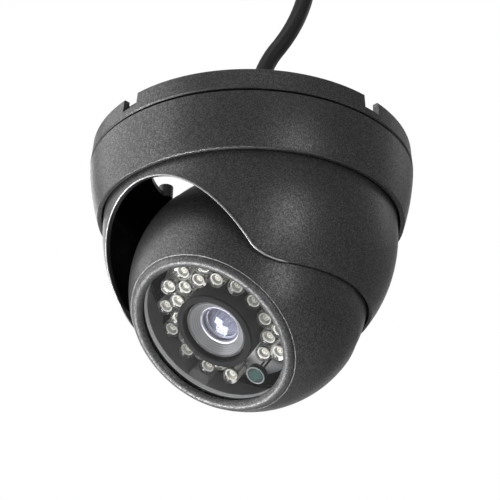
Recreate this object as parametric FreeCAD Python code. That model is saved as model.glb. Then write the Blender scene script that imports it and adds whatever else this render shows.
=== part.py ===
import FreeCAD, Part
import os, math

# Ceiling dome camera, millimetres.
# Frame: +Z up. The origin is the centre of the ceiling screw circle on the
# mounting face (z = 0). The dome hangs to -Z. At rest the eye looks along -Y
# and down by EYE_DOWN degrees. +X is the tilt axis.

V = FreeCAD.Vector
os.makedirs("parts", exist_ok=True)

# ---------------------------------------------------------------- dimensions
BODY_R = 46.9            # widest radius of the body (94 mm across)
RIM_TOP_R = 46.5         # base band at the ceiling
BAND_H = 6.3             # height of the base band
NOTCH_W, NOTCH_H = 5.6, 4.2
COVER_TOP, COVER_BOT = -6.9, -22.7
COVER_LIP_R = 42.45      # mouth of the cover ring
SPIGOT_R, SPIGOT_IN = 43.6, 41.2
SPIGOT_BOT = -15.2
DECK_TOP, DECK_BOT, DECK_IN_R = -4.2, -5.6, 29.4   # flange inside the base
SHROUD_R, SHROUD_WALL, SHROUD_Z = 42.0, 1.2, -25.6
SHROUD_CUT = -50.16      # flat lower edge of the shroud
ARCH_HALF, ARCH_H = 26.5, 25.3
ARCH_CORNER = 4.2
BALL_Z, BALL_R, BALL_BACK_R = -43.0, 33.7, 33.3
BALL_GAP = 0.3
EYE_DOWN = 52.35         # degrees below the horizon at rest
SEAM_W = 0.6
BEZEL_R, WINDOW_OPEN_R = 24.6, 21.3
GLASS_TOP, GLASS_T = 22.4, 1.5
SHIELD_R, SHIELD_IN = 11.35, 9.3
LED_R, LED_TIP = 2.4, 18.2
LED_BOARD_W = 8.0
SCREW_PCD, SCREW_HOLE_R = 78.0, 2.2
PAN_BEARING_R = 9.0
YOKE_T = 1.2
CABLE_R = 2.6
LEAD_R = 1.5
CABLE_HEADING = 46.0     # the side that the cable leans to
COIL_X, COIL_Y, COIL_RAD = 132.0, -8.0, 27.5


# ------------------------------------------------------------------- helpers
def cyl(r, z0, z1, x=0.0, y=0.0):
    return Part.makeCylinder(r, z1 - z0, V(x, y, z0), V(0, 0, 1))


def cylx(r, x0, x1, y=0.0, z=0.0):
    return Part.makeCylinder(r, x1 - x0, V(x0, y, z), V(1, 0, 0))


def box(x0, x1, y0, y1, z0, z1):
    return Part.makeBox(x1 - x0, y1 - y0, z1 - z0, V(x0, y0, z0))


def prof_face(items):
    """Face in the XZ half plane. Items are (r, z) corners, or
    ((rm, zm), (r, z)) for an arc through the first point to the second."""
    edges = []
    start = items[0]
    cur = start
    for it in items[1:]:
        if isinstance(it[0], tuple):
            m, e = it
            edges.append(Part.Arc(V(cur[0], 0, cur[1]), V(m[0], 0, m[1]),
                                  V(e[0], 0, e[1])).toShape())
            cur = e
        else:
            edges.append(Part.LineSegment(V(cur[0], 0, cur[1]),
                                          V(it[0], 0, it[1])).toShape())
            cur = it
    if math.hypot(cur[0] - start[0], cur[1] - start[1]) > 1e-6:
        edges.append(Part.LineSegment(V(cur[0], 0, cur[1]),
                                      V(start[0], 0, start[1])).toShape())
    return Part.Face(Part.Wire(edges))


def rev(items, angle=360.0, start=0.0):
    s = prof_face(items).revolve(V(0, 0, 0), V(0, 0, 1), angle)
    if start:
        s.rotate(V(0, 0, 0), V(0, 0, 1), start)
    return s


def ring(r0, r1, z0, z1):
    return rev([(r0, z0), (r1, z0), (r1, z1), (r0, z1)])


def sph(r, z=0.0):
    return Part.makeSphere(r, V(0, 0, z))


def rad_on(R, w):
    return math.sqrt(R * R - w * w)


def arc_pt(R, a_deg, zc=0.0):
    a = math.radians(a_deg)
    return (R * math.cos(a), zc + R * math.sin(a))


def mid_on(R, p, q, zc=0.0):
    a = 0.5 * (math.atan2(p[1] - zc, p[0]) + math.atan2(q[1] - zc, q[0]))
    return (R * math.cos(a), zc + R * math.sin(a))


def turned(s, deg):
    c = s.copy()
    c.rotate(V(0, 0, 0), V(0, 0, 1), deg)
    return c


def fuse(first, *rest):
    s = first.fuse(list(rest)) if rest else first
    return s.removeSplitter()


def save(name, shape):
    solids = shape.Solids
    if not solids:
        raise RuntimeError(name + ": no solid")
    out = solids[0] if len(solids) == 1 else Part.makeCompound(solids)
    for s in solids:
        if not s.isValid() or s.Volume < 1e-3:
            print("BAD", name, s.isValid(), s.Volume)
    out.exportStep("parts/%s.step" % name)
    b = out.BoundBox
    print("%-22s solids %2d vol %9.1f  z %7.2f..%6.2f" %
          (name, len(solids), sum(s.Volume for s in solids), b.ZMin, b.ZMax))
    return out


# local ball frame: +Z is the optical axis, +Y the eye's own "up"
EYE = FreeCAD.Placement(V(0, 0, BALL_Z),
                        FreeCAD.Rotation(V(1, 0, 0), 90.0 + EYE_DOWN))


def eye(s):
    c = s.copy()
    c.Placement = EYE.multiply(c.Placement)
    return c


# ------------------------------------------------------------------ base ring
base = rev([(44.6, 0), (46.2, 0), (RIM_TOP_R, -0.3), (BODY_R, -BAND_H + 0.35),
            (BODY_R - 0.35, -BAND_H), (SPIGOT_R, -BAND_H), (SPIGOT_R, SPIGOT_BOT), (SPIGOT_IN, SPIGOT_BOT),
            (SPIGOT_IN, DECK_BOT), (DECK_IN_R, DECK_BOT), (DECK_IN_R, DECK_TOP),
            (44.6, DECK_TOP)])
adds = []
for a in (45, 135, 225, 315):
    pad = fuse(cyl(6.0, DECK_BOT, 0, SCREW_PCD / 2, 0),
               box(SCREW_PCD / 2, 45.4, -5.0, 5.0, DECK_BOT, 0))
    adds.append(turned(pad, a))
for a in (-70, 50, 170):
    adds.append(turned(box(8, 42.6, -3.5, 3.5, -5.2, -2.4), a))
adds.append(cyl(13.5, -6.4, -1.5))
adds.append(cyl(PAN_BEARING_R, -8.7, -6.0))
# a moulded boss on the inner edge of the deck, and a stop rib behind the -Y notch
adds.append(turned(cyl(2.2, DECK_BOT, -1.5, DECK_IN_R + 0.4, 0), 196))
adds.append(turned(box(42.2, 43.6, -4.5, 4.5, DECK_BOT, -0.3), 270))
base = base.fuse(adds)
base = base.cut(cyl(5.2, -9, -1))
for a in (45, 135, 225, 315):
    base = base.cut(turned(cyl(SCREW_HOLE_R, -6.5, 1, SCREW_PCD / 2, 0), a))
    base = base.cut(turned(cyl(4.3, -7, -2.8, SCREW_PCD / 2, 0), a))
for a in (0, 90, 180, 270):
    n = box(43.9, 48, -NOTCH_W / 2, NOTCH_W / 2, -NOTCH_H, 1)
    base = base.cut(turned(n, a))
# bayonet tracks: an entry channel from below and a run across
LUG_HALF, TURN = 5.0, 15.0


def sector(r0, r1, z0, z1, a0, a1):
    return rev([(r0, z0), (r1, z0), (r1, z1), (r0, z1)], a1 - a0, a0)


for a in (30, 150, 270):
    base = base.cut(sector(42.7, 44.4, -11.75, -9.25, a - 5.6, a + 20.6))
    base = base.cut(sector(42.7, 44.4, -15.6, -9.25, a + 9.4, a + 20.6))
base = base.removeSplitter()
save("base_ring", base)

save("pan_washer", ring(PAN_BEARING_R + 0.15, 13.2, -7.05, -6.45))

# ------------------------------------------------------------------ cover ring
cover = rev([(44.2, COVER_TOP), (46.5, COVER_TOP), (46.86, COVER_TOP - 0.35),
             ((45.85, -14.6), (43.95, -22.15)), ((43.82, -22.55), (43.4, COVER_BOT)),
             (42.75, COVER_BOT), (COVER_LIP_R, COVER_BOT + 0.3),
             (COVER_LIP_R, -17.6), (43.9, -17.6), (43.9, COVER_TOP - 0.3)])
lugs = [sector(42.9, 44.3, -11.5, -9.5, a - LUG_HALF, a + LUG_HALF)
        for a in (30, 150, 270)]
cover = cover.fuse(lugs).removeSplitter()
save("cover_ring", cover)
save("cover_friction_ring", ring(42.6, 43.35, -17.6, -17.05))

# ---------------------------------------------------------------------- shroud
Ri = SHROUD_R - SHROUD_WALL
ro_b = rad_on(SHROUD_R, SHROUD_CUT - SHROUD_Z)
ri_b = rad_on(Ri, SHROUD_CUT - SHROUD_Z)
so = (SHROUD_R, SHROUD_Z)
eo = (ro_b, SHROUD_CUT)
si = (Ri, SHROUD_Z)
ei = (ri_b, SHROUD_CUT)
shroud = rev([(Ri, -15.5), (43.4, -15.5), (43.4, -17.0), (SHROUD_R, -17.0), so,
              (mid_on(SHROUD_R, so, eo, SHROUD_Z), eo), ei,
              (mid_on(Ri, ei, si, SHROUD_Z), si)])
shroud = shroud.cut(sph(BALL_R + BALL_GAP, BALL_Z))
# arched mouth, an ellipse on the flat lower edge, with rounded corners
el = Part.Ellipse(V(0, 0, SHROUD_CUT), ARCH_HALF, ARCH_H).toShape()
ef = Part.Face(Part.Wire([el]))
ef.rotate(V(0, 0, SHROUD_CUT), V(1, 0, 0), 90)
arch = ef.extrude(V(0, -60, 0))
arch_x = ARCH_HALF * math.sqrt(1 - (ARCH_CORNER / ARCH_H) ** 2)
cuts = [arch]
for s in (-1, 1):
    xa, xb = sorted((s * (arch_x - 1.5), s * (arch_x + ARCH_CORNER)))
    sq = box(xa, xb, -60, 0, SHROUD_CUT - 1, SHROUD_CUT + ARCH_CORNER)
    rod = Part.makeCylinder(ARCH_CORNER, 70, V(s * (arch_x + ARCH_CORNER), 5,
                            SHROUD_CUT + ARCH_CORNER), V(0, -1, 0))
    cuts.append(sq.cut(rod))
shroud = shroud.cut(cuts)
posts = []
for s in (-1, 1):
    posts.append(cyl(2.2, -22.5, -8.3, s * 38.1, 0))
    xa, xb = sorted((s * 38.1, s * 41.3))
    posts.append(box(xa, xb, -1.6, 1.6, -22.5, -16.5))
    xa, xb = sorted((s * 38.1, s * 40.7))
    posts.append(box(xa, xb, -1.6, 1.6, -17.0, -8.3))
shroud = shroud.fuse(posts)
for s in (-1, 1):
    shroud = shroud.cut(cyl(1.05, -17.5, -8.0, s * 38.1, 0))
shroud = shroud.removeSplitter()
save("shroud", shroud)

# ------------------------------------------------------------------------ yoke
XA0, XA1 = 34.2, 35.2
strip = box(-41, 41, -6, 6, -8.3, -8.3 + YOKE_T).common(cyl(40.4, -9, -6))
yoke = fuse(strip, cyl(14.0, -8.3, -8.3 + YOKE_T))
arms = []
for s in (-1, 1):
    x0, x1 = sorted((s * XA0, s * XA1))
    arms.append(box(x0, x1, -4.5, 4.5, -30, -8.0))
    pts = [V(x0, -4.5, -30), V(x0, 4.5, -30), V(x0, 3.0, BALL_Z), V(x0, -3.0, BALL_Z)]
    arms.append(Part.Face(Part.makePolygon(pts + [pts[0]])).extrude(V(x1 - x0, 0, 0)))
    arms.append(cylx(3.0, x0, x1, 0, BALL_Z))
yoke = yoke.fuse(arms)
yoke = yoke.cut(cyl(PAN_BEARING_R + 0.05, -9, -6))
for s in (-1, 1):
    yoke = yoke.cut(cyl(1.15, -9, -6, s * 38.1, 0))
    x0, x1 = sorted((s * 33, s * 37))
    yoke = yoke.cut(cylx(1.55, x0, x1, 0, BALL_Z))
yoke = yoke.removeSplitter()
save("tilt_yoke", yoke)

yoke_screws = []
for s in (-1, 1):
    head = fuse(cyl(1.9, -7.1, -6.1, s * 38.1, 0), cyl(1.0, -16.0, -7.0, s * 38.1, 0))
    sl = box(s * 38.1 - 1.5, s * 38.1 + 1.5, -0.25, 0.25, -6.5, -6.0)
    yoke_screws.append(head.cut(sl).cut(box(s * 38.1 - 0.25, s * 38.1 + 0.25,
                                                        -1.5, 1.5, -6.5, -6.0)))
save("yoke_screws", Part.makeCompound(yoke_screws))

washers, pivots = [], []
for s in (-1, 1):
    x0, x1 = sorted((s * 33.3, s * 34.15))
    washers.append(cylx(2.9, x0, x1, 0, BALL_Z).cut(cylx(1.6, x0 - 1, x1 + 1, 0, BALL_Z)))
    xs = sorted((s * 28.5, s * 35.3))
    xh = sorted((s * 35.25, s * 35.75))
    p = fuse(cylx(1.5, xs[0], xs[1], 0, BALL_Z), cylx(1.9, xh[0], xh[1], 0, BALL_Z))
    xd = sorted((s * 35.55, s * 36.2))
    p = p.cut(box(xd[0], xd[1], -1.3, 1.3, BALL_Z - 0.25, BALL_Z + 0.25))
    pivots.append(p)
save("pivot_washers", Part.makeCompound(washers))
save("pivot_screws", Part.makeCompound(pivots))

# --------------------------------------------------------- ball front housing
R, Rin = BALL_R, BALL_R - 2.0
w_lip = 22.6
a0 = (rad_on(R, SEAM_W), SEAM_W)
a1 = (rad_on(R, w_lip), w_lip)
b0 = (rad_on(Rin, 18.6), 18.6)
b1 = (rad_on(Rin, SEAM_W), SEAM_W)
front = rev([a0, (mid_on(R, a0, a1), a1), (24.75, w_lip), (24.75, 20.1),
             (21.9, 20.1), (21.9, 18.6), b0, (mid_on(Rin, b0, b1), b1)])
SCR = 28.6
bosses = [cyl(3.0, SEAM_W, 11.0, SCR * math.cos(math.radians(a)),
              SCR * math.sin(math.radians(a))) for a in (90, 210, 330)]
bosses = [b.common(sph(R - 0.8)) for b in bosses]
front = front.fuse(bosses)
front = front.cut([cylx(4.35, 26, 40), cylx(4.35, -40, -26)])
front = front.cut([cyl(1.25, 0, 10.0, SCR * math.cos(math.radians(a)),
                       SCR * math.sin(math.radians(a))) for a in (90, 210, 330)])
front = front.removeSplitter()
save("ball_front_housing", eye(front))

# ---------------------------------------------------------- ball back housing
Rb, Rbi = BALL_BACK_R, BALL_BACK_R - 2.0
c0 = (rad_on(Rb, 0.2), 0.2)
c1 = (rad_on(Rb, -25.0), -25.0)
d1 = (rad_on(Rbi, -22.8), -22.8)
d0 = (rad_on(Rbi, 0.2), 0.2)
back = rev([c0, (mid_on(Rb, c0, c1), c1), (0, -25.0), (0, -22.8), d1,
            (mid_on(Rbi, d1, d0), d0)])
tongue = rev([(30.3, -2.5), (31.6, -2.5), (31.6, 0.15), (31.35, 0.15), (31.35, 2.2),
              (30.3, 2.2)])
tongue = tongue.cut([cyl(3.3, 0.2, 3.0, SCR * math.cos(math.radians(a)),
                         SCR * math.sin(math.radians(a))) for a in (90, 210, 330)])
rear = [tongue]
for a in (90, 210, 330):
    x, y = SCR * math.cos(math.radians(a)), SCR * math.sin(math.radians(a))
    rear.append(cyl(3.5, -15.0, 0.2, x, y).common(sph(Rb - 0.4)))
for s in (-1, 1):
    x0, x1 = sorted((s * 27.5, s * 33.3))
    rear.append(cylx(4.0, x0, x1).common(sph(BALL_R)))
for sx in (-1, 1):
    for sy in (-1, 1):
        rear.append(cyl(2.6, -23.5, -5.6, sx * 13.6, sy * 13.6))
back = back.fuse(rear)
bc = []
for a in (90, 210, 330):
    x, y = SCR * math.cos(math.radians(a)), SCR * math.sin(math.radians(a))
    bc.append(cyl(2.7, -26, -9.0, x, y))
    bc.append(cyl(1.4, -10, 1.0, x, y))
for s in (-1, 1):
    x0, x1 = sorted((s * 27, s * 35))
    bc.append(cylx(1.5, x0, x1))
    x0, x1 = sorted((s * 33.3, s * 35))
    bc.append(cylx(4.6, x0, x1))
for sx in (-1, 1):
    for sy in (-1, 1):
        bc.append(cyl(1.2, -13.0, -5.0, sx * 13.6, sy * 13.6))
bc.append(cyl(3.4, -26, -22))
back = back.cut(bc).removeSplitter()
save("ball_back_housing", eye(back))

save("seam_gasket", eye(ring(32.0, 33.0, 0.2, SEAM_W).cut(
    [cylx(4.6, 26, 40), cylx(4.6, -40, -26)])))

hs = []
for a in (90, 210, 330):
    x, y = SCR * math.cos(math.radians(a)), SCR * math.sin(math.radians(a))
    h = fuse(cyl(2.4, -11.0, -9.0, x, y), cyl(1.25, -9.2, 9.0, x, y))
    h = h.cut(box(x - 1.7, x + 1.7, y - 0.3, y + 0.3, -12, -10.2))
    h = h.cut(box(x - 0.3, x + 0.3, y - 1.7, y + 1.7, -12, -10.2))
    hs.append(h)
save("housing_screws", eye(Part.makeCompound(hs)))

# ------------------------------------------------------------- window and bezel
gl = GLASS_TOP - GLASS_T
bezel = rev([(23.1, gl + 0.05), (24.7, gl + 0.05), (24.7, 22.62), (24.62, 22.7),
             ((24.04, 23.66), (22.98, 24.03)), ((21.81, 23.56), (WINDOW_OPEN_R + 0.003, 22.45)),
             (WINDOW_OPEN_R + 0.1, GLASS_TOP), (23.1, GLASS_TOP)])
save("front_bezel", eye(bezel))
save("window_glass", eye(rev([(0, gl), (22.75, gl), (22.95, gl + 0.2), (22.95, GLASS_TOP - 0.2),
                              (22.75, GLASS_TOP), (0, GLASS_TOP)])))
save("window_seal", eye(ring(21.95, 24.4, 20.1, gl)))

# ------------------------------------------------------------------- led board
lb0, lb1 = LED_BOARD_W, LED_BOARD_W + 1.6
board = ring(8.6, 21.5, lb0, lb1)
save("led_board", eye(board))

LED_POS = []
for k in range(13):
    LED_POS.append((17.6, -51.6 + 24.3 * k))
for k in range(13):
    LED_POS.append((13.95, -63.75 + 24.3 * k))
leds = []
for r, a in LED_POS:
    x, y = r * math.cos(math.radians(a)), r * math.sin(math.radians(a))
    zt = LED_TIP - LED_R
    d = rev([(0, lb1), (LED_R, lb1), (LED_R, zt),
             (arc_pt(LED_R, 45, zt), (0, LED_TIP))])
    d.translate(V(x, y, 0))
    leds.append(d)
save("ir_leds", eye(Part.makeCompound(leds)))

cell = fuse(cyl(2.75, 15.6, 17.4, 0.3, -17.2), cyl(0.3, lb1, 15.7, -1.0, -17.2),
            cyl(0.3, lb1, 15.7, 1.6, -17.2))
save("photocell", eye(cell))
save("lens_shield", eye(rev([(SHIELD_IN, lb1), (SHIELD_R, lb1), (SHIELD_R, gl - 0.25),
                             (SHIELD_R - 0.25, gl - 0.03), (SHIELD_IN + 0.3, gl - 0.03),
                             (SHIELD_IN, gl - 0.4)])))

# ------------------------------------------------------------------------ lens
barrel = rev([(6.0, -1.0), (6.0, 9.0), (7.0, 9.0), (7.0, 15.0), (9.0, 15.0),
              (9.0, 19.3), (8.7, 19.6), (8.3, 19.6), (5.6, 17.0), (5.4, 17.0), (5.4, 14.5),
              (4.0, 14.5), (4.0, -1.0)])
save("lens_barrel", eye(barrel))
dome_r = (5.35 ** 2 + 1.5 ** 2) / 3.0      # spherical front face, 1.5 high
dz = 18.0 - dome_r
save("lens_front_element", eye(rev([(0, 14.55), (5.35, 14.55), (5.35, 16.5),
                                    (mid_on(dome_r, (5.35, 16.5), (0, 18.0), dz), (0, 18.0))])))
save("lens_rear_element", eye(rev([(0, 0.6), (3.95, 1.6), (3.95, 3.2), (0, 3.2)])))
save("lens_holder", eye(rev([(6.3, -4.0), (8.2, -4.0), (8.2, 7.8), (6.05, 7.8), (6.05, -1.3),
                             (4.6, -1.3), (4.6, -2.0), (6.3, -2.0)])))
save("ir_cut_filter", eye(cyl(6.1, -2.6, -2.0)))
save("image_sensor", eye(box(-3.6, 3.6, -3.6, 3.6, -4.0, -3.0)))

# ------------------------------------------------------------ boards in the ball
sb = box(-16.5, 16.5, -16.5, 16.5, -5.6, -4.0)
for sx in (-1, 1):
    for sy in (-1, 1):
        sb = sb.cut(cyl(1.25, -6, -3, sx * 13.6, sy * 13.6))
save("sensor_board", eye(sb))
chips = [box(-11, -2, -2, 7, -6.9, -5.6), box(1.5, 6.5, 1, 6, -6.6, -5.6),
         box(-8, -4, -10, -6, -6.6, -5.6), box(8.5, 11.5, -8, -3, -7.4, -5.6)]
save("board_chips", eye(Part.makeCompound(chips)))
save("board_connector", eye(box(-1.5, 6.5, -8.5, -3.5, -9.5, -5.6)))
so_ = []
for sx in (-1, 1):
    for sy in (-1, 1):
        so_.append(fuse(cyl(2.0, -4.0, lb0, sx * 13.6, sy * 13.6),
                        cyl(1.2, -12.0, -3.9, sx * 13.6, sy * 13.6)))
save("board_standoffs", eye(Part.makeCompound(so_)))
save("rear_grommet", eye(rev([(2.05, -26.4), (4.0, -26.4), (4.6, -25.9), (4.6, -25.0),
                              (3.4, -25.0), (3.4, -22.8), (4.4, -22.8), (4.4, -21.9),
                              (2.05, -21.9)])))
save("ball_lead", eye(cyl(2.0, -28.6, -10.5)))

# ---------------------------------------------------------------- cable and coil
ch, sh = math.cos(math.radians(CABLE_HEADING)), math.sin(math.radians(CABLE_HEADING))


def st(s, t, z):
    """Point given along the heading (s), to its left (t) and up (z)."""
    return V(s * ch - t * sh, s * sh + t * ch, z)


EXIT_Z = 8.0
gland = rev([(0, -8.7), (5.15, -8.7), (5.15, -1.5), (6.6, -1.5), (6.6, 0.3),
             (4.6, 0.9), (4.3, 2.0), (CABLE_R + 0.35, EXIT_Z - 0.4), (CABLE_R + 0.1, EXIT_Z),
             (0, EXIT_Z)])
save("cable_gland", gland)

def atc(a, b, z):
    """Point given from the centre of the put-away coil."""
    return V(COIL_X + a, COIL_Y + b, z)


ROUTE = [st(0, 0, EXIT_Z), st(0, 0, 28.9), st(13.8, 0, 49.3), st(18.3, 0, 73.5),
         V(27.0, 25.0, 88.5), V(46.0, 34.0, 92.0), V(66.0, 40.0, 84.5), V(83.0, 41.0, 68.5),
         V(95.0, 37.0, 49.5), V(101.5, 28.0, 31.5), V(104.5, 14.0, 17.5), V(105.2, -2.0, 10.2),
         V(105.7, -16.0, 8.7)]


def tube(points, r, label):
    n = len(points)
    runs = [(points[i + 1] - points[i]).Length for i in range(n - 1)]
    cuts_, radii = [None] * n, []
    for i in range(1, n - 1):
        u = (points[i] - points[i - 1]).normalize()
        v = (points[i + 1] - points[i]).normalize()
        turn = u.getAngle(v)
        t = 0.45 * min(runs[i - 1], runs[i])
        rad = t / math.tan(turn / 2)
        a = points[i] - u * t
        b = points[i] + v * t
        bis = (v - u).normalize()
        cdist = rad / math.cos(turn / 2)
        m = points[i] + bis * (cdist - rad)
        cuts_[i] = (a, m, b)
        radii.append(rad)
    edges, cur = [], points[0]
    for i in range(1, n - 1):
        a, m, b = cuts_[i]
        edges.append(Part.LineSegment(cur, a).toShape())
        edges.append(Part.Arc(a, m, b).toShape())
        cur = b
    edges.append(Part.LineSegment(cur, points[-1]).toShape())
    w = Part.Wire(edges)
    d0_ = (points[1] - points[0]).normalize()
    c = Part.Wire([Part.Circle(points[0], d0_, r).toShape()])
    s = w.makePipeShell([c], True, False)
    if s.ShapeType != "Solid":
        s = Part.Solid(Part.Shell(s.Faces))
    if s.Volume < 0:
        s.reverse()
    print("%s: length %.1f, section x length %.1f, volume %.1f, radii %s" %
          (label, w.Length, math.pi * r * r * w.Length, s.Volume,
           ["%.1f" % q for q in radii]))
    return s


save("cable_tube", tube(ROUTE, CABLE_R, "cable_tube"))

# put-away coil: about a turn and a half, the first part over the second, and the end
# stepping out beside them
cz = 0.9
coil = fuse(ring(COIL_RAD - CABLE_R, COIL_RAD + CABLE_R, cz, cz + 4 * CABLE_R),
            sector(COIL_RAD + CABLE_R - 0.1, COIL_RAD + 3 * CABLE_R, cz, cz + 2 * CABLE_R,
                   -25.0, 20.0))
coil.translate(atc(0, 0, 0))
save("cable_coil", coil)

tie_o = box(COIL_RAD - CABLE_R - 1.2, COIL_RAD + CABLE_R + 1.2, -2.0, 2.0, 0, cz + 4 * CABLE_R + 1.0)
tie_i = box(COIL_RAD - CABLE_R - 0.3, COIL_RAD + CABLE_R + 0.3, -3.0, 3.0, cz - 0.1,
            cz + 4 * CABLE_R + 0.1)
tie = turned(tie_o.cut(tie_i), -95.0)
tie.translate(atc(0, 0, 0))
save("coil_tie", tie)

# splitter: a moulded Y on the end of the cable
sp_a = 20.0
sp_x = (COIL_RAD + 2 * CABLE_R) * math.cos(math.radians(sp_a))
sp_y = (COIL_RAD + 2 * CABLE_R) * math.sin(math.radians(sp_a))
hd = sp_a + 90.0
SPL = 17.0


def off(p, q, z):
    """Point along the splitter (p) and to its left (q), from the coil's centre."""
    c, s = math.cos(math.radians(hd)), math.sin(math.radians(hd))
    return (sp_x + p * c - q * s, sp_y + p * s + q * c, z)


plate = [atc(*off(p, q, 0.3)) for p, q in [(0, -3.3), (0, 3.3), (7, 3.6), (SPL, 5.2),
                                           (SPL, -5.2), (7, -3.6)]]
spl = Part.Face(Part.makePolygon(plate + [plate[0]])).extrude(V(0, 0, 6.4))
try:
    spl = spl.makeFillet(1.1, [e for e in spl.Edges if abs(e.BoundBox.ZLength) > 5])
except Exception as exc:
    print("splitter fillet skipped", exc)
save("cable_splitter", spl)

# leads: they turn from the splitter's heading to straight back towards the dome
pw = [off(SPL, 2.7, 3.5), (16.8, 41.9, 4.6), (1.0, 42.2, 5.4)]
vd = [off(SPL, -2.7, 3.5), (23.0, 40.5, 4.0), (16.5, 53.8, 5.1), (3.0, 54.6, 5.95)]
save("power_lead", tube([atc(*p) for p in pw], LEAD_R, "power_lead"))
save("video_lead", tube([atc(*p) for p in vd], LEAD_R, "video_lead"))


def along(shape, p_from, p_to):
    """Shape built along +Z from z = 0, laid from p_from towards p_to."""
    a, b = atc(*p_from), atc(*p_to)
    d = (b - a).normalize()
    c = shape.copy()
    c.Placement = FreeCAD.Placement(a, FreeCAD.Rotation(V(0, 0, 1), d)).multiply(c.Placement)
    return c


jack = rev([(0, 0), (LEAD_R + 0.5, 0), (3.6, 7.5), (5.3, 8.5), (5.3, 26.0), (5.0, 26.3),
            (2.85, 26.3), (2.85, 17.0), (1.05, 17.0), (1.05, 25.0), (0, 25.3)])
save("dc_jack", along(jack, pw[-1], (pw[-1][0] - 10, pw[-1][1] + 0.3, pw[-1][2])))
bboot = rev([(0, 0), (LEAD_R + 0.5, 0), (3.7, 7.0), (5.6, 8.0), (5.6, 17.0), (0, 17.0)])
bjack = rev([(0, 17.0), (4.9, 17.0), (4.9, 19.0), (5.6, 19.2), (5.6, 20.6), (4.8, 20.8), (4.8, 29.5),
             (4.1, 29.5), (4.1, 21.5), (2.4, 21.5), (2.4, 27.0), (0.7, 27.0), (0.7, 22.5),
             (0, 22.5)])
lugs_ = [cylx(0.95, -5.7, -4.5, 0, 26.5), cylx(0.95, 4.5, 5.7, 0, 26.5)]
bjack = bjack.fuse(lugs_).removeSplitter()
bj_to = (vd[-1][0] - 10, vd[-1][1] + 0.2, vd[-1][2])
save("bnc_boot", along(bboot, vd[-1], bj_to))
save("bnc_jack", along(bjack, vd[-1], bj_to))
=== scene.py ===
import math
import random

import bpy
import bmesh
from mathutils import Matrix, Vector


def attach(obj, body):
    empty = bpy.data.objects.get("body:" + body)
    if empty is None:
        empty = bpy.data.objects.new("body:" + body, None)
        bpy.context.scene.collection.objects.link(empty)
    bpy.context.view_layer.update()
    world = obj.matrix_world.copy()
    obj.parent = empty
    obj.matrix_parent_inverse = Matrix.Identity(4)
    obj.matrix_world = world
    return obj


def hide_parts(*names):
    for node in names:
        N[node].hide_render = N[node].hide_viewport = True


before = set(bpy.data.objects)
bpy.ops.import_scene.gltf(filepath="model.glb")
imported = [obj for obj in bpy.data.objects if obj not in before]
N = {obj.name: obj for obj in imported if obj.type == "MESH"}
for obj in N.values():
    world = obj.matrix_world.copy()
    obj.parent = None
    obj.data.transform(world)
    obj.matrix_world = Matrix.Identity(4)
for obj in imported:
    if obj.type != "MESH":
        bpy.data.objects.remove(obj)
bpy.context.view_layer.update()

scene = bpy.context.scene
root = scene.collection

# --------------------------------------------------------------------- camera
cam_data = bpy.data.cameras.new("cam")
cam = bpy.data.objects.new("cam", cam_data)
root.objects.link(cam)
cam_data.sensor_width = 36.0
cam_data.lens = 101.4
cam_data.clip_start = 0.01
cam_data.clip_end = 50.0
fwd = Vector((-0.6383, 0.6164, 0.4609)).normalized()
right = fwd.cross(Vector((0, 0, 1))).normalized()
upv = right.cross(fwd)
roll = 0.0195
r2 = math.cos(roll) * right + math.sin(roll) * upv
u2 = -math.sin(roll) * right + math.cos(roll) * upv
rot = Matrix((r2, u2, -fwd)).transposed()
cam.matrix_world = Matrix.Translation((0.2553, -0.2466, -0.2144)) @ rot.to_4x4()
scene.camera = cam
scene.view_settings.view_transform = "Standard"
scene.view_settings.look = "None"


# ------------------------------------------------------------- material helpers
def new_mat(name):
    m = bpy.data.materials.new(name)
    m.use_nodes = True
    nt = m.node_tree
    return m, nt, nt.nodes["Principled BSDF"]


def nd(nt, kind, **kw):
    n = nt.nodes.new(kind)
    for k, v in kw.items():
        if k in ("operation", "data_type", "blend_type", "feature", "distance", "noise_dimensions",
                 "invert", "clamp", "use_clamp", "interpolation_type", "clamp_factor"):
            setattr(n, k, v)
        else:
            n.inputs[k.replace("_", " ")].default_value = v
    return n


def link(nt, a, b):
    nt.links.new(a, b)


def obj_coord(nt):
    return nt.nodes.new("ShaderNodeTexCoord").outputs["Object"]


def noise(nt, scale, detail=2.0, rough=0.55):
    n = nt.nodes.new("ShaderNodeTexNoise")
    n.inputs["Scale"].default_value = scale
    n.inputs["Detail"].default_value = detail
    n.inputs["Roughness"].default_value = rough
    link(nt, obj_coord(nt), n.inputs["Vector"])
    return n.outputs["Fac"]


def ramp(nt, fac, stops):
    r = nt.nodes.new("ShaderNodeValToRGB")
    els = r.color_ramp.elements
    while len(els) < len(stops):
        els.new(0.5)
    for e, (p, c) in zip(els, stops):
        e.position = p
        e.color = (*c, 1.0) if len(c) == 3 else c
    link(nt, fac, r.inputs["Fac"])
    return r.outputs["Color"]


def math_node(nt, op, a, b=None, clamp=False):
    m = nt.nodes.new("ShaderNodeMath")
    m.operation = op
    m.use_clamp = clamp
    for i, v in enumerate((a, b)):
        if v is None:
            continue
        if isinstance(v, (int, float)):
            m.inputs[i].default_value = v
        else:
            link(nt, v, m.inputs[i])
    return m.outputs[0]


def to_range(nt, fac, a, b, lo=0.0, hi=1.0):
    m = nt.nodes.new("ShaderNodeMapRange")
    m.inputs["From Min"].default_value = lo
    m.inputs["From Max"].default_value = hi
    m.inputs["To Min"].default_value = a
    m.inputs["To Max"].default_value = b
    link(nt, fac, m.inputs["Value"])
    return m.outputs["Result"]


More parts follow.
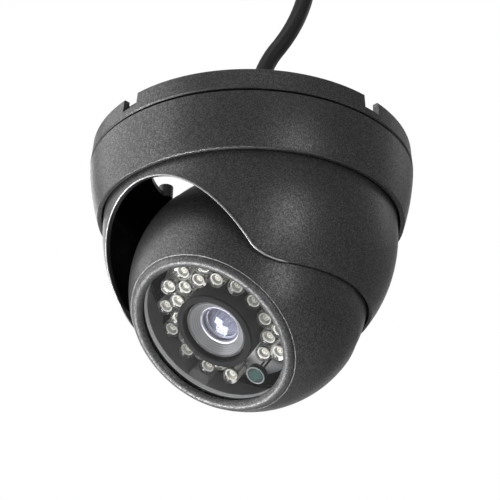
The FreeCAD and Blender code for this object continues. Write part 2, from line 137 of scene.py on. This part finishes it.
def mix_col(nt, fac, a, b, blend="MIX"):
    m = nt.nodes.new("ShaderNodeMix")
    m.data_type = "RGBA"
    m.blend_type = blend
    ins = [s for s in m.inputs if s.enabled]
    f = next(s for s in m.inputs if s.name == "Factor" and s.type == "VALUE")
    ca = next(s for s in m.inputs if s.name == "A" and s.type == "RGBA")
    cb = next(s for s in m.inputs if s.name == "B" and s.type == "RGBA")
    for s, v in ((f, fac), (ca, a), (cb, b)):
        if isinstance(v, (int, float)):
            s.default_value = v
        elif isinstance(v, tuple):
            s.default_value = (*v, 1.0) if len(v) == 3 else v
        else:
            link(nt, v, s)
    return next(s for s in m.outputs if s.type == "RGBA")


def bump(nt, p, height, strength, distance):
    b = nt.nodes.new("ShaderNodeBump")
    b.inputs["Strength"].default_value = strength
    b.inputs["Distance"].default_value = distance
    link(nt, height, b.inputs["Height"])
    link(nt, b.outputs["Normal"], p.inputs["Normal"])
    return b


def grain(nt, scale):
    """Random grey for each grain of the coat."""
    v = nt.nodes.new("ShaderNodeTexVoronoi")
    v.inputs["Scale"].default_value = scale
    link(nt, obj_coord(nt), v.inputs["Vector"])
    s = nt.nodes.new("ShaderNodeSeparateColor")
    link(nt, v.outputs["Color"], s.inputs["Color"])
    return s.outputs[0]


AXIS_C = (0.0, 0.0, -0.043)
AXIS_N = (0.0, -0.61084, -0.79175)


def from_axis(nt):
    """Distance from the eye's axis, and distance along it, both in metres."""
    v = nt.nodes.new("ShaderNodeVectorMath")
    v.operation = "SUBTRACT"
    link(nt, obj_coord(nt), v.inputs[0])
    v.inputs[1].default_value = AXIS_C
    c = nt.nodes.new("ShaderNodeVectorMath")
    c.operation = "CROSS_PRODUCT"
    link(nt, v.outputs["Vector"], c.inputs[0])
    c.inputs[1].default_value = AXIS_N
    ln = nt.nodes.new("ShaderNodeVectorMath")
    ln.operation = "LENGTH"
    link(nt, c.outputs["Vector"], ln.inputs[0])
    d = nt.nodes.new("ShaderNodeVectorMath")
    d.operation = "DOT_PRODUCT"
    link(nt, v.outputs["Vector"], d.inputs[0])
    d.inputs[1].default_value = AXIS_N
    return ln.outputs["Value"], d.outputs["Value"]


def ringed(name, base, rough, metallic, pitch, spread, relief, black_from=1.0):
    """A turned face with fine rings round the eye's axis, blacked from one radius outwards."""
    m, nt, p = new_mat(name)
    r, w = from_axis(nt)
    wave = math_node(nt, "SINE", math_node(nt, "MULTIPLY", r, 2 * math.pi / pitch))
    n = noise(nt, 2400, 3, 0.6)
    both = math_node(nt, "ADD", math_node(nt, "MULTIPLY", to_range(nt, wave, 0.0, 1.0, -1.0, 1.0), 0.6),
                     math_node(nt, "MULTIPLY", n, 0.4))
    col = ramp(nt, both, [(0.2, tuple(c * (1 - spread) for c in base)), (0.8, tuple(min(1, c * (1 + spread)) for c in base))])
    k = to_range(nt, r, 0.0, 1.0, black_from - 0.0001, black_from + 0.0001)
    link(nt, mix_col(nt, k, col, (0.006, 0.006, 0.0065)), p.inputs["Base Color"])
    link(nt, to_range(nt, k, metallic, 0.0), p.inputs["Metallic"])
    rr = to_range(nt, both, rough + 0.05, rough - 0.05, 0.2, 0.8)
    link(nt, math_node(nt, "ADD", rr, math_node(nt, "MULTIPLY", k, 0.35)), p.inputs["Roughness"])
    bump(nt, p, both, relief, 0.00006)
    return m


def two_tone(name, front, side, at, rough, spec):
    """Foam ring: black on its front face, a little greyer round its side."""
    m, nt, p = new_mat(name)
    r, w = from_axis(nt)
    n = noise(nt, 2600, 3, 0.65)
    k = to_range(nt, w, 0.0, 1.0, at - 0.0001, at + 0.0001)
    k = math_node(nt, "MAXIMUM", k, to_range(nt, r, 1.0, 0.0, 0.0110, 0.0112))
    a = ramp(nt, n, [(0.3, tuple(c * 0.7 for c in side)), (0.7, tuple(c * 1.3 for c in side))])
    b = ramp(nt, n, [(0.3, tuple(c * 0.6 for c in front)), (0.7, tuple(c * 1.4 for c in front))])
    link(nt, mix_col(nt, k, a, b), p.inputs["Base Color"])
    link(nt, to_range(nt, n, rough - 0.06, rough + 0.06, 0.3, 0.7), p.inputs["Roughness"])
    p.inputs["Specular IOR Level"].default_value = spec
    bump(nt, p, n, 0.3, 0.00006)
    return m


def powder(name, base, spread, metallic, rough, inside=None):
    """Fine metallic powder coat: grains of about a third of a millimetre, over a faint wide mottle."""
    m, nt, p = new_mat(name)
    fine = noise(nt, 4600, 2, 0.6)
    gr = grain(nt, 4000)
    wide = noise(nt, 45, 2, 0.5)
    mixed = math_node(nt, "ADD", math_node(nt, "MULTIPLY", gr, 0.55), math_node(nt, "MULTIPLY", fine, 0.45))
    col = ramp(nt, mixed, [(0.22, tuple(c * (1 - spread) for c in base)), (0.5, base),
                           (0.80, tuple(min(1, c * (1 + 2.2 * spread)) for c in base))])
    tone = ramp(nt, wide, [(0.3, (0.97, 0.97, 0.97)), (0.7, (1.03, 1.03, 1.03))])
    col = mix_col(nt, 1.0, col, tone, "MULTIPLY")
    # Given inside, surfaces nearer the centre than r_in take the colour deep and no metal: painted shade inside the
    # shroud and in the base ring's recess, and a light grey inner wall inside the ball.
    if inside is not None:
        kind, centre, r_in, deep = inside
        d = nt.nodes.new("ShaderNodeVectorMath")
        d.operation = "DISTANCE"
        if kind == "ball":
            link(nt, obj_coord(nt), d.inputs[0])
        else:
            flat = nt.nodes.new("ShaderNodeVectorMath")
            flat.operation = "MULTIPLY"
            link(nt, obj_coord(nt), flat.inputs[0])
            flat.inputs[1].default_value = (1, 1, 0)
            link(nt, flat.outputs["Vector"], d.inputs[0])
        d.inputs[1].default_value = centre
        k = to_range(nt, d.outputs["Value"], 0.0, 1.0, r_in - 0.0001, r_in + 0.0001)
        if kind == "drum":
            sep = nt.nodes.new("ShaderNodeSeparateXYZ")
            link(nt, obj_coord(nt), sep.inputs[0])
            k = math_node(nt, "MAXIMUM", k, to_range(nt, sep.outputs["Z"], 0.0, 1.0, -0.00025, -0.00015))
        col = mix_col(nt, k, deep, col)
        link(nt, to_range(nt, k, 0.0, metallic), p.inputs["Metallic"])
    else:
        p.inputs["Metallic"].default_value = metallic
    link(nt, col, p.inputs["Base Color"])
    link(nt, to_range(nt, mixed, rough + 0.07, rough - 0.09, 0.2, 0.8), p.inputs["Roughness"])
    bump(nt, p, mixed, 0.25, 0.00005)
    return m


def plain(name, base, rough, metallic=0.0, scale=900.0, spread=0.12, bump_s=0.15, bump_d=0.00005, spec=0.5,
          coat=0.0):
    """A moulded, turned or plated surface with fine tone, roughness and relief."""
    m, nt, p = new_mat(name)
    n = noise(nt, scale, 4, 0.6)
    wide = noise(nt, scale / 18, 2, 0.5)
    both = math_node(nt, "ADD", math_node(nt, "MULTIPLY", n, 0.5), math_node(nt, "MULTIPLY", wide, 0.5))
    link(nt, ramp(nt, both, [(0.3, tuple(c * (1 - spread) for c in base)), (0.7, tuple(min(1, c * (1 + spread)) for c in base))]),
         p.inputs["Base Color"])
    link(nt, to_range(nt, both, max(0.02, rough - 0.06), rough + 0.06, 0.3, 0.7), p.inputs["Roughness"])
    p.inputs["Metallic"].default_value = metallic
    p.inputs["Specular IOR Level"].default_value = spec
    p.inputs["Coat Weight"].default_value = coat
    bump(nt, p, n, bump_s, bump_d)
    return m


def clear(name, tint, ior, rough=0.0, scale=500.0, wave=0.02, pass_tint=None):
    """Clear glass or resin that lets lamps through to what is behind it."""
    m, nt, p = new_mat(name)
    n = noise(nt, scale, 2, 0.5)
    link(nt, ramp(nt, n, [(0.3, tuple(c * 0.985 for c in tint)), (0.7, tint)]), p.inputs["Base Color"])
    p.inputs["Transmission Weight"].default_value = 1.0
    p.inputs["IOR"].default_value = ior
    link(nt, to_range(nt, n, rough, rough + 0.015, 0.3, 0.8), p.inputs["Roughness"])
    bump(nt, p, n, wave, 0.00005)
    t = nt.nodes.new("ShaderNodeBsdfTransparent")
    t.inputs["Color"].default_value = (*(pass_tint or tint), 1.0)
    lp = nt.nodes.new("ShaderNodeLightPath")
    either = math_node(nt, "MAXIMUM", lp.outputs["Is Shadow Ray"], lp.outputs["Is Diffuse Ray"])
    mx = nt.nodes.new("ShaderNodeMixShader")
    link(nt, either, mx.inputs[0])
    link(nt, p.outputs[0], mx.inputs[1])
    link(nt, t.outputs[0], mx.inputs[2])
    out = next(x for x in nt.nodes if x.type == "OUTPUT_MATERIAL")
    link(nt, mx.outputs[0], out.inputs["Surface"])
    return m


def paint(mat, *names):
    for n in names:
        o = N[n]
        if not o.material_slots:
            o.data.materials.append(mat)
        for s in o.material_slots:
            s.material = mat


# ------------------------------------------------------------------- materials
COAT = (0.062, 0.062, 0.0625)
coat = powder("coat", COAT, 0.45, 0.55, 0.40)
# Shroud's inner wall, within 41.7 mm of its centre, is near-black: painted shade.
coat_shroud = powder("coat_shroud", COAT, 0.45, 0.55, 0.40, inside=("ball", (0, 0, -0.0256), 0.0417, (0.008, 0.008, 0.009)))
coat_ball = powder("coat_ball", COAT, 0.45, 0.55, 0.40, inside=("ball", (0, 0, -0.043), 0.0320, (0.78, 0.78, 0.785)))
coat_back = powder("coat_back", COAT, 0.45, 0.55, 0.40)
# Base ring's recess, within 43.8 mm of the axis and below its top face, is near-black: painted shade.
coat_base = powder("coat_base", COAT, 0.45, 0.55, 0.40, inside=("drum", (0, 0, 0), 0.0438, (0.018, 0.018, 0.019)))
# Near-black metal for the tilt yoke and its screws: painted shade, for parts that sit in shadow.
black_metal_for_shade = plain("black_metal_for_shade", (0.045, 0.045, 0.05), 0.34, 0.8, 1400, 0.15)
shield_black = two_tone("shield_foam", (0.003, 0.003, 0.0033), (0.05, 0.05, 0.05), 0.0202, 0.75, 0.12)
seal_black = plain("seal_black", (0.005, 0.005, 0.0055), 0.7, 0.0, 1500, 0.3, 0.3, 0.00006, 0.2)
nylon = plain("nylon", (0.74, 0.73, 0.68), 0.5, 0.0, 700, 0.06)
rubber = plain("rubber", (0.012, 0.012, 0.013), 0.55, 0.0, 1800, 0.2, 0.25, 0.00006, 0.35)
board_dark = plain("board_grey", (0.20, 0.20, 0.205), 0.55, 0.0, 1600, 0.08, 0.1, 0.00003)
green = plain("green_board", (0.012, 0.10, 0.045), 0.3, 0.0, 1100, 0.15, 0.1, 0.00004)
chip = plain("chip", (0.02, 0.02, 0.021), 0.42, 0.0, 2500, 0.15)
brass = plain("brass", (0.66, 0.48, 0.20), 0.28, 1.0, 1600, 0.07)
nickel = plain("nickel", (0.66, 0.65, 0.62), 0.22, 1.0, 1500, 0.06)
cup_m = plain("cup", (0.46, 0.45, 0.41), 0.25, 0.5, 2600, 0.35)
# Near-white chip tops: painted glint in the middle of each lamp.
chip_glint_white = plain("lamp_chip", (0.90, 0.88, 0.80), 0.4, 0.0, 3000, 0.1)
# Near-white non-metal for the lamps' lead frames, cup rims and tabs: painted reflection of their silver plating.
frame_glint_white = plain("frame_glint_white", (0.97, 0.96, 0.93), 0.35, 0.0, 2600, 0.10)
jacket = plain("jacket", (0.012, 0.012, 0.013), 0.36, 0.0, 420, 0.25, 0.12, 0.00012, 0.5)
moulded = plain("moulded", (0.014, 0.014, 0.015), 0.42, 0.0, 1300, 0.2, 0.25, 0.00006, 0.45)
tie_mat = plain("tie", (0.025, 0.025, 0.026), 0.45, 0.0, 900, 0.2)
barrel_mat = ringed("barrel", (0.24, 0.24, 0.245), 0.36, 0.35, 0.00045, 0.22, 0.35, 0.0082)
glass = clear("window", (0.97, 0.975, 0.98), 1.26)
resin = clear("resin", (0.97, 0.965, 0.94), 1.50, 0.0, 900, 0.05)
filter_g = clear("filter", (0.70, 0.90, 0.93), 1.50)


def coated_lens(name, ior):
    """Lens glass with a faint violet-blue coating that shows more to the side."""
    m, nt, p = new_mat(name)
    n = noise(nt, 300, 2, 0.5)
    link(nt, ramp(nt, n, [(0.3, (0.88, 0.87, 0.95)), (0.7, (0.92, 0.91, 0.98))]), p.inputs["Base Color"])
    p.inputs["Transmission Weight"].default_value = 1.0
    p.inputs["IOR"].default_value = ior
    link(nt, to_range(nt, n, 0.01, 0.03, 0.3, 0.8), p.inputs["Roughness"])
    g = nt.nodes.new("ShaderNodeBsdfGlossy")
    g.inputs["Roughness"].default_value = 0.05
    lw = nt.nodes.new("ShaderNodeLayerWeight")
    lw.inputs["Blend"].default_value = 0.35
    link(nt, ramp(nt, lw.outputs["Facing"], [(0.0, (0.75, 0.85, 1.0)), (0.3, (0.62, 0.62, 1.0)), (0.7, (0.80, 0.68, 1.0))]),
         g.inputs["Color"])
    mx = nt.nodes.new("ShaderNodeMixShader")
    mx.inputs[0].default_value = 0.07
    link(nt, p.outputs[0], mx.inputs[1])
    link(nt, g.outputs[0], mx.inputs[2])
    t = nt.nodes.new("ShaderNodeBsdfTransparent")
    t.inputs["Color"].default_value = (0.92, 0.92, 0.97, 1.0)
    lp = nt.nodes.new("ShaderNodeLightPath")
    either = math_node(nt, "MAXIMUM", lp.outputs["Is Shadow Ray"], lp.outputs["Is Diffuse Ray"])
    mx2 = nt.nodes.new("ShaderNodeMixShader")
    link(nt, either, mx2.inputs[0])
    link(nt, mx.outputs[0], mx2.inputs[1])
    link(nt, t.outputs[0], mx2.inputs[2])
    out = next(x for x in nt.nodes if x.type == "OUTPUT_MATERIAL")
    link(nt, mx2.outputs[0], out.inputs["Surface"])
    return m


lens_g = coated_lens("lens_glass", 1.55)

# ------------------------------------------------------------- cable and its coil
HEAD = math.radians(46.0)
CH, SH = math.cos(HEAD), math.sin(HEAD)


def st(s, t, z):
    return Vector(((s * CH - t * SH) / 1000, (s * SH + t * CH) / 1000, z / 1000))


def ax(x, y, z):
    return Vector((x / 1000, y / 1000, z / 1000))


COIL_X, COIL_Y = 132.0, -8.0
ROUTE = [st(0, 0, 8.0), st(0, 0, 28.9), st(13.8, 0, 49.3), st(18.3, 0, 73.5),
         ax(27.0, 25.0, 88.5), ax(46.0, 34.0, 92.0), ax(66.0, 40.0, 84.5), ax(83.0, 41.0, 68.5),
         ax(95.0, 37.0, 49.5), ax(101.5, 28.0, 31.5), ax(104.5, 14.0, 17.5), ax(105.2, -2.0, 10.2),
         ax(105.7, -16.0, 8.7)]


def ease(x, a, b):
    k = min(1.0, max(0.0, (x - a) / (b - a)))
    return k * k * (3 - 2 * k)


def coil_point(deg, last=False):
    """The wound cable: it goes round on top, drops to the lower layer and ends beside it."""
    r = 27.5 + (32.7 - 27.5) * ease(deg, 688, 732)
    z = 8.7 + (3.5 - 8.7) * ease(deg, 405, 500)
    if not last:
        r /= math.cos(math.radians(11.3))
    a = math.radians(deg)
    return ax(COIL_X + r * math.cos(a), COIL_Y + r * math.sin(a), z)


route = list(ROUTE)
TURNS = 24
for k in range(1, TURNS + 1):
    deg = 196.7 + (740.0 - 196.7) * k / TURNS
    route.append(coil_point(deg, k == TURNS))


def nurbs(name, points, radius, mat, resolution=10):
    cu = bpy.data.curves.new(name, "CURVE")
    cu.dimensions = "3D"
    sp = cu.splines.new("NURBS")
    sp.points.add(len(points) - 1)
    for q, v in zip(sp.points, points):
        q.co = (v.x, v.y, v.z, 1.0)
    sp.order_u = 3
    sp.use_endpoint_u = True
    sp.resolution_u = resolution
    cu.bevel_depth = radius
    cu.bevel_resolution = 8
    cu.use_fill_caps = True
    cu.materials.append(mat)
    o = bpy.data.objects.new(name, cu)
    root.objects.link(o)
    return o


SP_A = math.radians(20.0)
SP_X = 32.7 * math.cos(SP_A)
SP_Y = 32.7 * math.sin(SP_A)
SP_H = math.radians(110.0)


def atc(a, b, z):
    return ax(COIL_X + a, COIL_Y + b, z)


def off(p, q, z):
    c, s = math.cos(SP_H), math.sin(SP_H)
    return atc(SP_X + p * c - q * s, SP_Y + p * s + q * c, z)


PW = [off(17, 2.7, 3.5), atc(16.8, 41.9, 4.6), atc(1.0, 42.2, 5.4)]
VD = [off(17, -2.7, 3.5), atc(23.0, 40.5, 4.0), atc(16.5, 53.8, 5.1), atc(3.0, 54.6, 5.95)]
cable = nurbs("cable", route, 0.0026, jacket)
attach(cable, "base")
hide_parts("cable_tube", "cable_coil")
power = nurbs("power_cord", PW, 0.0015, jacket)
video = nurbs("video_cord", VD, 0.0015, jacket)
for o, node, jack, length, start in ((power, "power_lead", ["dc_jack"], 0.0307, PW[0]),
                                     (video, "video_lead", ["bnc_boot", "bnc_jack"], 0.0404, VD[0])):
    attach(o, "base")
    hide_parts(node)

paint(coat_base, "base_ring")
paint(coat, "cover_ring")
paint(powder("coat_lip", (0.078, 0.078, 0.079), 0.5, 0.5, 0.49), "front_bezel")
paint(coat_ball, "ball_front_housing")
paint(coat_back, "ball_back_housing")
paint(coat_shroud, "shroud")
# The yoke and the screws are near-black: painted shade.
paint(black_metal_for_shade, "tilt_yoke", "yoke_screws", "pivot_screws", "housing_screws")
paint(nylon, "pan_washer", "pivot_washers", "board_connector")
paint(rubber, "cover_friction_ring", "seam_gasket", "rear_grommet", "cable_gland")
paint(shield_black, "lens_shield")
paint(seal_black, "window_seal")
paint(board_dark, "led_board")
paint(green, "sensor_board")
paint(chip, "board_chips", "image_sensor")
paint(brass, "board_standoffs")
paint(barrel_mat, "lens_barrel", "lens_holder")
paint(lens_g, "lens_front_element", "lens_rear_element")
paint(filter_g, "ir_cut_filter")
paint(glass, "window_glass")
paint(resin, "ir_leds")
paint(jacket, "ball_lead")
paint(moulded, "cable_splitter", "dc_jack", "bnc_boot")
paint(tie_mat, "coil_tie")
paint(nickel, "bnc_jack")

# --------------------------------------------------------------- the eye's frame
DOWN = math.radians(90.0 + 52.35)
EYE = Matrix.Translation((0, 0, -0.043)) @ Matrix.Rotation(DOWN, 4, "X")


def eye_point(x, y, w):
    return EYE @ Vector((x / 1000, y / 1000, w / 1000))


def mesh_object(name, bm, mat, body, smooth=True):
    me = bpy.data.meshes.new(name)
    bm.normal_update()
    bm.to_mesh(me)
    bm.free()
    for f in me.polygons:
        f.use_smooth = smooth
    me.materials.append(mat)
    o = bpy.data.objects.new(name, me)
    root.objects.link(o)
    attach(o, body)
    return o


def lathe(bm, profile, seg, place, closed=True):
    """Closed ring or cap turned from (radius, height) points, in mm, put in place by a matrix."""
    rings = []
    for r, z in profile:
        if r < 1e-6:
            rings.append([bm.verts.new(place @ Vector((0, 0, z / 1000)))])
        else:
            rings.append([bm.verts.new(place @ Vector((r / 1000 * math.cos(2 * math.pi * k / seg),
                                                       r / 1000 * math.sin(2 * math.pi * k / seg), z / 1000)))
                          for k in range(seg)])
    pairs = list(zip(rings, rings[1:]))
    if closed:
        pairs.append((rings[-1], rings[0]))
    for a, b in pairs:
        for k in range(seg):
            k2 = (k + 1) % seg
            if len(a) == 1 and len(b) == 1:
                continue
            if len(a) == 1:
                bm.faces.new((a[0], b[k], b[k2]))
            elif len(b) == 1:
                bm.faces.new((a[k], b[0], a[k2]))
            else:
                bm.faces.new((a[k], b[k], b[k2], a[k2]))


def block(bm, x0, x1, y0, y1, z0, z1, place):
    vs = [bm.verts.new(place @ Vector((x / 1000, y / 1000, z / 1000)))
          for z in (z0, z1) for x, y in ((x0, y0), (x1, y0), (x1, y1), (x0, y1))]
    for q in ((3, 2, 1, 0), (4, 5, 6, 7), (0, 1, 5, 4), (1, 2, 6, 5), (2, 3, 7, 6), (3, 0, 4, 7)):
        bm.faces.new([vs[i] for i in q])


# lamp insides: lead frame posts, a reflector cup with its chip, and a bond wire's tab
LAMPS = [(17.6, -51.6 + 24.3 * k) for k in range(13)] + [(13.95, -63.75 + 24.3 * k) for k in range(13)]
rng = random.Random(5)
bm = bmesh.new()
bw = bmesh.new()
bc = bmesh.new()
for r, a in LAMPS:
    x, y = r * math.cos(math.radians(a)), r * math.sin(math.radians(a))
    spin = rng.uniform(0, 360)
    dz = rng.uniform(-0.12, 0.12)
    pl = EYE @ Matrix.Translation((x / 1000, y / 1000, dz / 1000)) @ Matrix.Rotation(math.radians(spin), 4, "Z")
    block(bm, -0.55, 0.25, -0.25, 0.25, 9.9, 14.7, pl)
    lathe(bm, [(0.98, 15.45), (1.20, 15.4), (1.20, 15.6), (1.10, 15.68), (0.98, 15.6)], 24, pl)
    lathe(bm, [(0.36, 15.16), (0.56, 15.16), (0.54, 15.36), (0.46, 15.42), (0.38, 15.36)], 20, pl)
    block(bm, 1.40, 1.80, -0.2, 0.2, 9.9, 14.6, pl)
    block(bm, 1.00, 1.80, -0.26, 0.26, 14.6, 14.8, pl)
    lathe(bw, [(0.0, 14.5), (0.75, 14.5), (1.10, 15.42), (0.97, 15.44), (0.60, 15.0), (0.0, 15.0)], 24, pl, closed=False)
    block(bc, -0.16, 0.16, -0.16, 0.16, 15.0, 15.45, pl)
# Frames, rims and tabs in near-white: painted reflection.
frames = mesh_object("lamp_frames", bm, frame_glint_white, "ball", smooth=False)
cups = mesh_object("lamp_cups", bw, cup_m, "ball", smooth=True)
chips = mesh_object("lamp_chips", bc, chip_glint_white, "ball", smooth=False)

# the light sensor's meander track and its pale rim
track_m = plain("track", (0.03, 0.10, 0.085), 0.6, 0.2, 2000, 0.2, spec=0.15)
bm = bmesh.new()
pl = EYE @ Matrix.Translation((0.0003, -0.0172, 0))
for k in range(5):
    y = -1.2 + 0.6 * k
    w = math.sqrt(max(0.0, 1.9 ** 2 - y * y))
    block(bm, -w, w, y - 0.11, y + 0.11, 17.38, 17.47, pl)
    if k < 4:
        sx = w - 0.3 if k % 2 else -(w - 0.3)
        block(bm, sx - 0.12, sx + 0.12, y, y + 0.6, 17.38, 17.46, pl)
track = mesh_object("sensor_track", bm, track_m, "ball", smooth=False)
rim_m = plain("sensor_rim", (0.16, 0.175, 0.175), 0.3, 0.0, 1500, 0.1)
bm = bmesh.new()
lathe(bm, [(2.35, 17.35), (2.78, 17.35), (2.78, 17.5), (2.6, 17.6), (2.4, 17.5)], 48, pl)
rim = mesh_object("sensor_rim", bm, rim_m, "ball")
paint(plain("sensor_body", (0.028, 0.033, 0.033), 0.7, 0.0, 1200, 0.2, spec=0.1), "photocell")

# lens trim: retaining rings and a stop behind the front element
trim_m = plain("trim", (0.30, 0.30, 0.34), 0.28, 0.6, 2200, 0.12)
bm = bmesh.new()
lathe(bm, [(5.38, 16.55), (5.95, 17.35), (5.7, 17.5), (5.0, 16.9), (5.0, 16.75)], 72, EYE)
ring1 = mesh_object("lens_ring", bm, trim_m, "lens")
bm = bmesh.new()
lathe(bm, [(3.9, 13.2), (3.9, 13.6), (3.0, 12.6), (2.2, 12.1), (2.2, 11.9), (3.0, 12.2)], 64, EYE)
stop = mesh_object("lens_stop", bm, trim_m, "lens")
bm = bmesh.new()
lathe(bm, [(0.0, 10.9), (3.3, 10.0), (3.9, 9.4), (3.9, 8.9), (0.0, 8.9)], 64, EYE, closed=False)
inner = mesh_object("lens_inner", bm, lens_g, "lens")

# thin bead along the arched mouth, coloured much lighter than the coat: a painted highlight on the mouth's edge. It
# follows the ellipse on the lower edge, with its rounded corners
R_OUT, Z_MID, Z_CUT = 42.0, -25.6, -50.16
A_HALF, A_HIGH, A_COR = 26.5, 25.3, 4.2


def on_shell(x, z, grow=0.0):
    """Point on the front of the shroud's outside, at this x and z."""
    r = R_OUT if z >= Z_MID else math.sqrt(R_OUT ** 2 - (z - Z_MID) ** 2)
    r += grow
    return Vector((x / 1000, -math.sqrt(max(0.0, r * r - x * x)) / 1000, z / 1000))


def arch_points():
    ax_ = A_HALF * math.sqrt(1 - (A_COR / A_HIGH) ** 2)
    pts = []
    for k in range(0, 11):
        t = math.radians(270 - 9 * k)
        pts.append((-(ax_ + A_COR) - A_COR * math.cos(t), Z_CUT + A_COR + A_COR * math.sin(t)))
    pts = [(x, z) for x, z in pts if x < -ax_ + 0.01]
    t0 = math.asin(A_COR / A_HIGH)
    for k in range(0, 61):
        t = math.pi - t0 - (math.pi - 2 * t0) * k / 60
        pts.append((A_HALF * math.cos(t), Z_CUT + A_HIGH * math.sin(t)))
    right = [(-x, z) for x, z in reversed(pts) if z < Z_CUT + A_COR - 0.01]
    return pts + right


EDGE = [on_shell(x, z, -0.04) for x, z in arch_points()]
bead_pts = []
for k, q in enumerate(EDGE):
    if k == 0 or (q - bead_pts[-1]).length > 0.0004:
        bead_pts.append(q)
bm = bmesh.new()
rings = []
for k, q in enumerate(bead_pts):
    d = (bead_pts[min(k + 1, len(bead_pts) - 1)] - bead_pts[max(k - 1, 0)]).normalized()
    u = Vector((q.x, q.y, 0)).normalized()
    v = d.cross(u).normalized()
    u = v.cross(d).normalized()
    rings.append([bm.verts.new(q + 0.00028 * (math.cos(a) * u + math.sin(a) * v))
                  for a in (2 * math.pi * i / 10 for i in range(10))])
for a_, b_ in zip(rings, rings[1:]):
    for i in range(10):
        bm.faces.new((a_[i], a_[(i + 1) % 10], b_[(i + 1) % 10], b_[i]))
bm.faces.new(rings[0][::-1])
bm.faces.new(rings[-1])
# Coat about four times lighter than the shroud's: painted highlight on the edge.
edge_highlight_m = powder("edge_highlight_coat", (0.27, 0.27, 0.272), 0.2, 0.6, 0.34)
bead = mesh_object("arch_edge_highlight", bm, edge_highlight_m, "pan")

# --------------------------------------------------------------- floor and light
me = bpy.data.meshes.new("floor")
bm = bmesh.new()
bmesh.ops.create_grid(bm, x_segments=2, y_segments=2, size=6.0)
bm.to_mesh(me)
bm.free()
floor = bpy.data.objects.new("floor", me)
root.objects.link(floor)
floor.location = (0, 0, -0.5)
floor_mat, nt, p = new_mat("floor")
p.inputs["Base Color"].default_value = (0.6, 0.6, 0.6, 1)
p.inputs["Roughness"].default_value = 0.9
me.materials.append(floor_mat)

world = bpy.data.worlds.new("world")
scene.world = world
world.use_nodes = True
wn = world.node_tree
bg = wn.nodes["Background"]
bg.inputs["Color"].default_value = (1, 1, 1, 1)
bg.inputs["Strength"].default_value = 0.25
bg2 = wn.nodes.new("ShaderNodeBackground")
bg2.inputs["Color"].default_value = (1, 1, 1, 1)
bg2.inputs["Strength"].default_value = 1.0
lp = wn.nodes.new("ShaderNodeLightPath")
mx = wn.nodes.new("ShaderNodeMixShader")
wn.links.new(lp.outputs["Is Camera Ray"], mx.inputs[0])
wn.links.new(bg.outputs[0], mx.inputs[1])
wn.links.new(bg2.outputs[0], mx.inputs[2])
wn.links.new(mx.outputs[0], wn.nodes["World Output"].inputs["Surface"])


def area(name, az, el, dist, sx, sy, power, target=(0, 0, -0.03)):
    d = bpy.data.lights.new(name, "AREA")
    d.shape = "RECTANGLE"
    d.size, d.size_y = sx, sy
    d.energy = power
    o = bpy.data.objects.new(name, d)
    root.objects.link(o)
    a, e = math.radians(az), math.radians(el)
    t = Vector(target)
    v = Vector((math.sin(a) * math.cos(e), -math.cos(a) * math.cos(e), math.sin(e)))
    o.location = t + v * dist
    o.rotation_euler = (-v).to_track_quat("-Z", "Y").to_euler()
    o.visible_camera = False
    return o


area("key_left", -42, 17, 1.0, 1.40, 1.1, 10.0)
area("rim_left", -108, 8, 1.0, 0.16, 0.9, 1.6)
area("eye_light", -46, -46, 0.55, 0.19, 0.19, 4.2)
area("soft_right", 75, -10, 0.9, 0.28, 0.5, 1.8)
area("right_back", 165, 26, 1.1, 0.4, 0.4, 0.35)
area("behind", 226, 18, 1.3, 1.3, 1.1, 2.0)
area("top", 46, 70, 1.1, 0.8, 0.8, 2.5)
